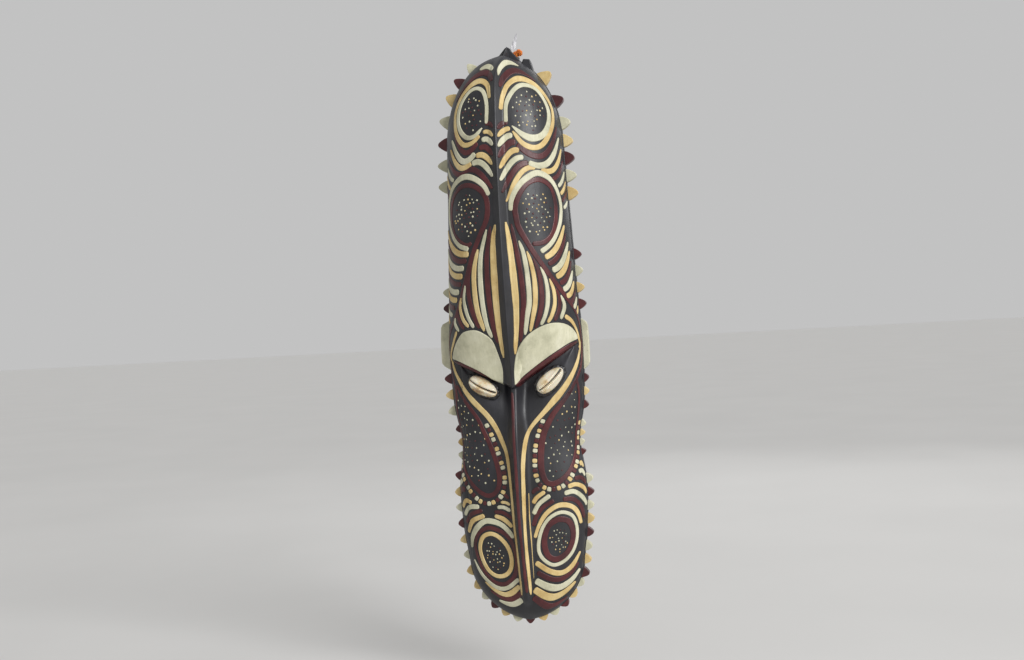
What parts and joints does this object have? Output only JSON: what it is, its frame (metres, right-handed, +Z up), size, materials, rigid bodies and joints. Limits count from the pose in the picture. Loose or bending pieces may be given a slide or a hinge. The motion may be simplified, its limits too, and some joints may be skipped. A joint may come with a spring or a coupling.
{
  "type": "carved wooden mask",
  "caption": "Long oval carved and painted wooden spirit mask with a keeled forehead, cowrie shell eyes, a toothed rim and a small feather crest, hung flat on a wall.",
  "frame": {"origin": "on the flat back face of the crown, midway between the two cord holes that the mask hangs by", "axes": "+Z up along the mask towards the crown, +X to the right as seen by a viewer in front, +Y back towards the wall"},
  "size_m": [0.1557, 0.074, 0.6183],
  "materials": {
    "black_wood": "carved wood under brushed blue-black paint with a soft sheen, bare brown wood at the back",
    "paint_white": "hand-brushed off-white paint over black, slightly uneven",
    "paint_cream": "hand-brushed cream-yellow paint, slightly uneven",
    "paint_maroon": "hand-brushed dark maroon paint with a soft sheen",
    "cowrie": "glossy cowrie shell, cream with brown-gold edges to its slit",
    "eye_gum": "hardened black gum, hand-pressed, satin",
    "twine": "dark twisted twine",
    "orange_fibre": "dyed orange downy fibre",
    "feather": "white downy feather with a grey-black tip"
  },
  "bodies": {
    "root": {"mask_body": "black_wood", "left_eye_gum": "eye_gum", "left_eye_shell": "cowrie", "right_eye_gum": "eye_gum", "right_eye_shell": "cowrie", "tuft_tie": "twine", "orange_tuft": "orange_fibre", "crest_feather": "feather"}
  },
  "joints": []
}
